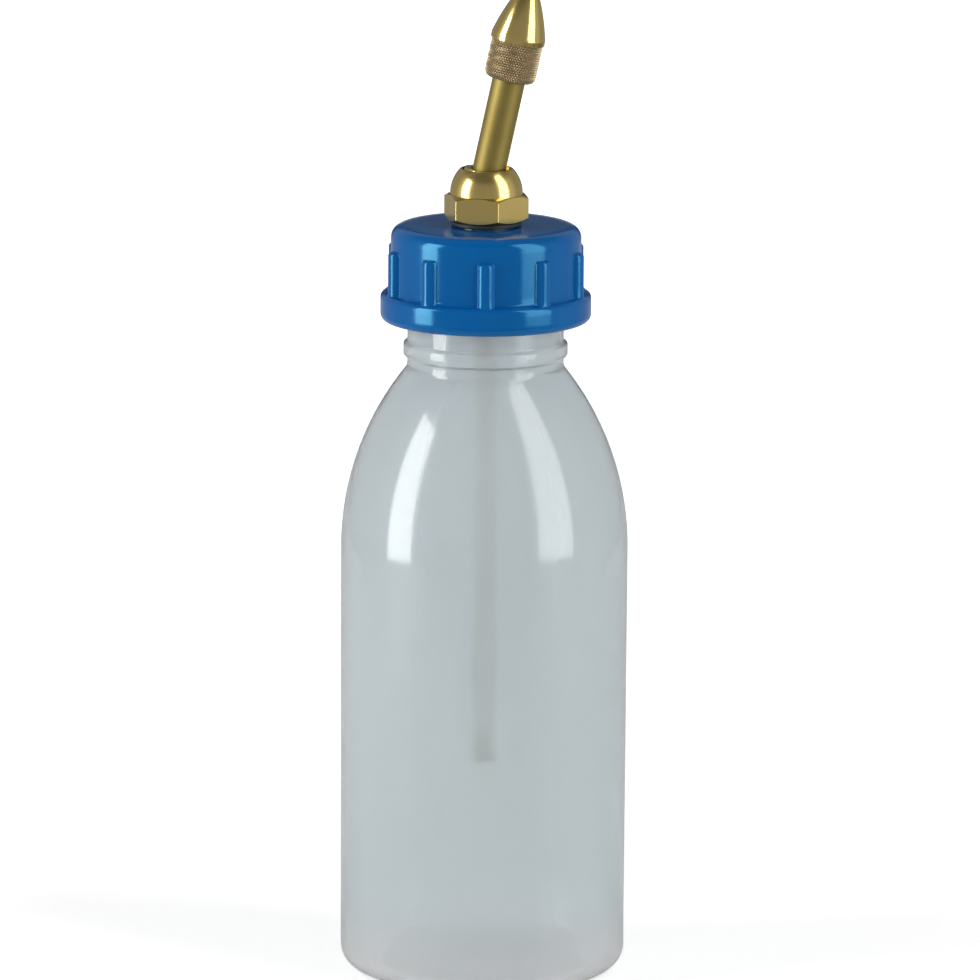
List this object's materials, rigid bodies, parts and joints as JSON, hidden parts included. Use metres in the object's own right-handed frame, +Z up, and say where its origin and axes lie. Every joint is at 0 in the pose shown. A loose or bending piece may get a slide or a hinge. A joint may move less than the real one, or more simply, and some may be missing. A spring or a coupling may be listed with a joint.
{
  "type": "oil can",
  "caption": "Squeeze-bottle oil can: translucent plastic bottle, blue ribbed screw cap, dip tube and a ball-jointed brass spout with a knurled screw-on nozzle.",
  "frame": {"origin": "centre of the bottle's foot, on the surface that it stands on", "axes": "+Z up along the bottle's axis, +X towards the side that the spout leans to, -Y towards the camera of the picture"},
  "size_m": [0.057, 0.057, 0.1991],
  "materials": {
    "bottle": "translucent low-density polyethylene, satin gloss, milky blue-grey",
    "cap": "moulded blue plastic, glossy",
    "brass": "turned and polished brass",
    "hose": "translucent extruded hose",
    "cream_nylon": "cream moulded nylon",
    "pale_liner": "pale grey-green soft plastic",
    "rubber": "black oil-proof rubber"
  },
  "bodies": {
    "bottle": {"bottle": "bottle"},
    "liner": {"cap_liner": "pale_liner"},
    "cap": {"screw_cap": "cap", "outer_washer": "rubber", "inner_gasket": "rubber", "fitting_stem": "brass", "dome_nut": "brass", "dip_tube": "hose", "dip_tube_foot": "cream_nylon"},
    "ball_seat": {"ball_seat": "cream_nylon"},
    "spout": {"spout_ball": "brass", "spout_tube": "brass"},
    "nozzle_seal": {"nozzle_seal": "rubber"},
    "nozzle": {"nozzle": "brass"}
  },
  "joints": [
    {"name": "cap_lift", "type": "slide", "parent": "bottle", "child": "liner", "axis": [0, 0, 1], "range_m": [0, 0.006]},
    {"name": "cap_turn", "type": "hinge", "parent": "liner", "child": "cap", "pos_m": [0, 0, 0.14], "axis": [0, 0, 1], "range_deg": [0, 540]},
    {"name": "spout_swivel", "type": "hinge", "parent": "cap", "child": "ball_seat", "pos_m": [0, 0, 0.15896], "axis": [0, 0, 1], "continuous": true},
    {"name": "spout_tilt", "type": "hinge", "parent": "ball_seat", "child": "spout", "pos_m": [0, 0, 0.15896], "axis": [0, 1, 0], "range_deg": [-32, 8]},
    {"name": "nozzle_slide", "type": "slide", "parent": "spout", "child": "nozzle_seal", "axis": [0.2079, 0, 0.9781], "range_m": [0, 0.00601]},
    {"name": "nozzle_turn", "type": "hinge", "parent": "nozzle_seal", "child": "nozzle", "pos_m": [0.00624, 0, 0.1883], "axis": [0.2079, 0, 0.9781], "range_deg": [0, 2160]}
  ],
  "couplings": [
    {"joint": "cap_lift", "follows": "cap_turn", "m_per_rad": 0.00063662},
    {"joint": "nozzle_slide", "follows": "nozzle_turn", "m_per_rad": 0.00015915}
  ]
}
